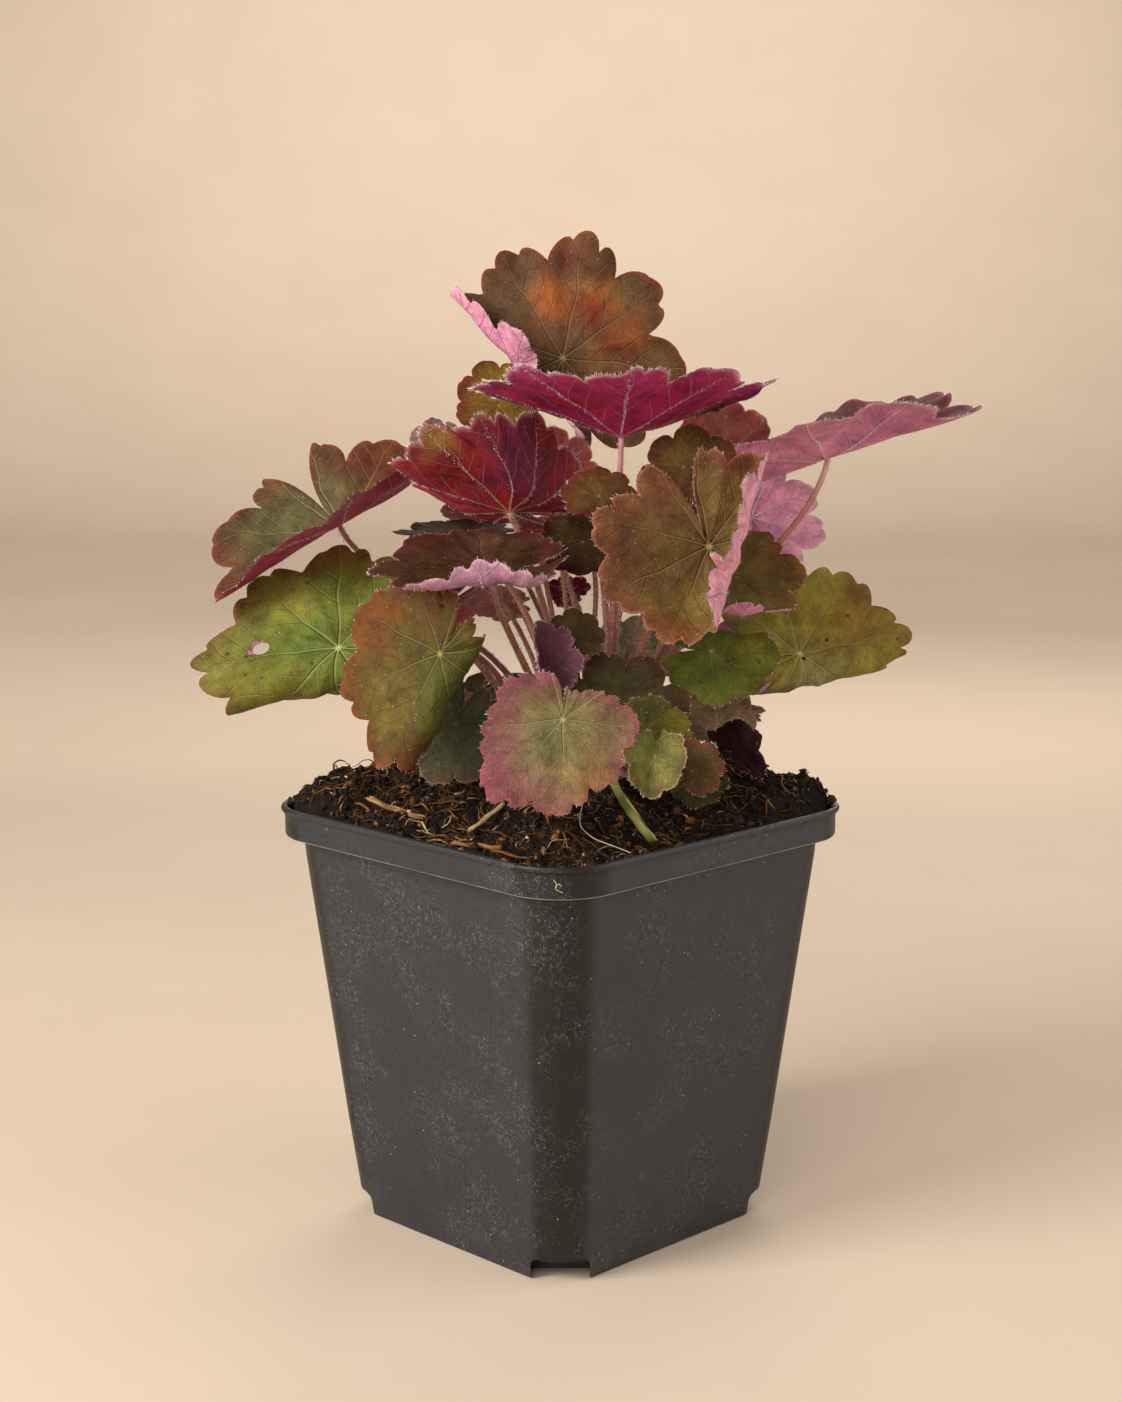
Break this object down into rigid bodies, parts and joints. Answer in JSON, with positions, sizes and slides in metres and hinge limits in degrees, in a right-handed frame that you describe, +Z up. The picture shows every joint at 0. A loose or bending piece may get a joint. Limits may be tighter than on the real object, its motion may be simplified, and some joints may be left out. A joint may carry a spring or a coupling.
{
  "type": "potted heuchera plant",
  "caption": "Leafy rosette of lobed leaves on long stalks growing from soil in a square plastic nursery pot.",
  "frame": {"origin": "middle of the pot's foot, on the surface it stands on", "axes": "+Z up, along the longest extent; the square pot's sides face X and Y"},
  "size_m": [0.1241, 0.132, 0.2054],
  "materials": {
    "pot_plastic": "satin charcoal plastic with fine dust",
    "soil": "moist dark peat with fibres",
    "rootstock": "rough brown bark and scales",
    "straw": "dry matt straw",
    "stem": "cut green stem",
    "leaf_bronze": "satin bronze leaf with pale veins and short hairs",
    "leaf_magenta": "magenta leaf underside with pink veins",
    "leaf_crimson": "translucent crimson leaf",
    "leaf_rose": "pale pink leaf underside with purple veins",
    "leaf_olive": "satin olive-green leaf with pale veins and a red edge",
    "leaf_dark": "satin dark bronze-green leaf",
    "leaf_dry": "dry tan leaf",
    "leaf_withered": "withered dark purple leaf"
  },
  "bodies": {
    "root": {"pot": "pot_plastic", "soil": "soil", "crown": "rootstock", "straw_left": "straw", "straw_front": "straw", "straw_pale": "straw", "stem_cut": "stem", "leaf_top_bronze": "leaf_bronze", "leaf_high_magenta": "leaf_magenta", "leaf_right_long": "leaf_crimson", "leaf_right_pink": "leaf_rose", "leaf_crimson_fan": "leaf_crimson", "leaf_olive_small": "leaf_olive", "leaf_red_back_left": "leaf_crimson", "leaf_red_back_right": "leaf_crimson", "leaf_bronze_upper": "leaf_bronze", "leaf_front_bronze": "leaf_bronze", "leaf_bronze_bud": "leaf_bronze", "leaf_left_folded": "leaf_bronze", "leaf_left_green": "leaf_olive", "leaf_left_hanging": "leaf_olive", "leaf_left_flat": "leaf_dark", "leaf_left_under": "leaf_dark", "leaf_low_grey": "leaf_dark", "leaf_front_low": "leaf_bronze", "leaf_low_bronze": "leaf_dark", "leaf_low_olive": "leaf_olive", "leaf_low_folded": "leaf_olive", "leaf_low_dark": "leaf_dark", "leaf_low_green": "leaf_olive", "leaf_right_green": "leaf_olive", "leaf_right_dark": "leaf_dark", "leaf_right_inner": "leaf_olive", "leaf_dried": "leaf_dry", "leaf_withered": "leaf_withered", "leaf_middle_dark": "leaf_dark", "leaf_red_small": "leaf_crimson", "leaf_crimson_young": "leaf_crimson", "leaf_bronze_young": "leaf_bronze", "leaf_purple_young": "leaf_crimson", "leaf_back_pale": "leaf_olive", "leaf_back_rosy": "leaf_rose", "leaf_back_grey": "leaf_bronze", "leaf_pink_small": "leaf_rose", "leaf_rear_low_left": "leaf_olive", "leaf_rear_low_right": "leaf_olive", "leaf_rear_left": "leaf_olive", "leaf_rear_right": "leaf_bronze", "leaf_rear_upper": "leaf_bronze"}
  },
  "joints": []
}
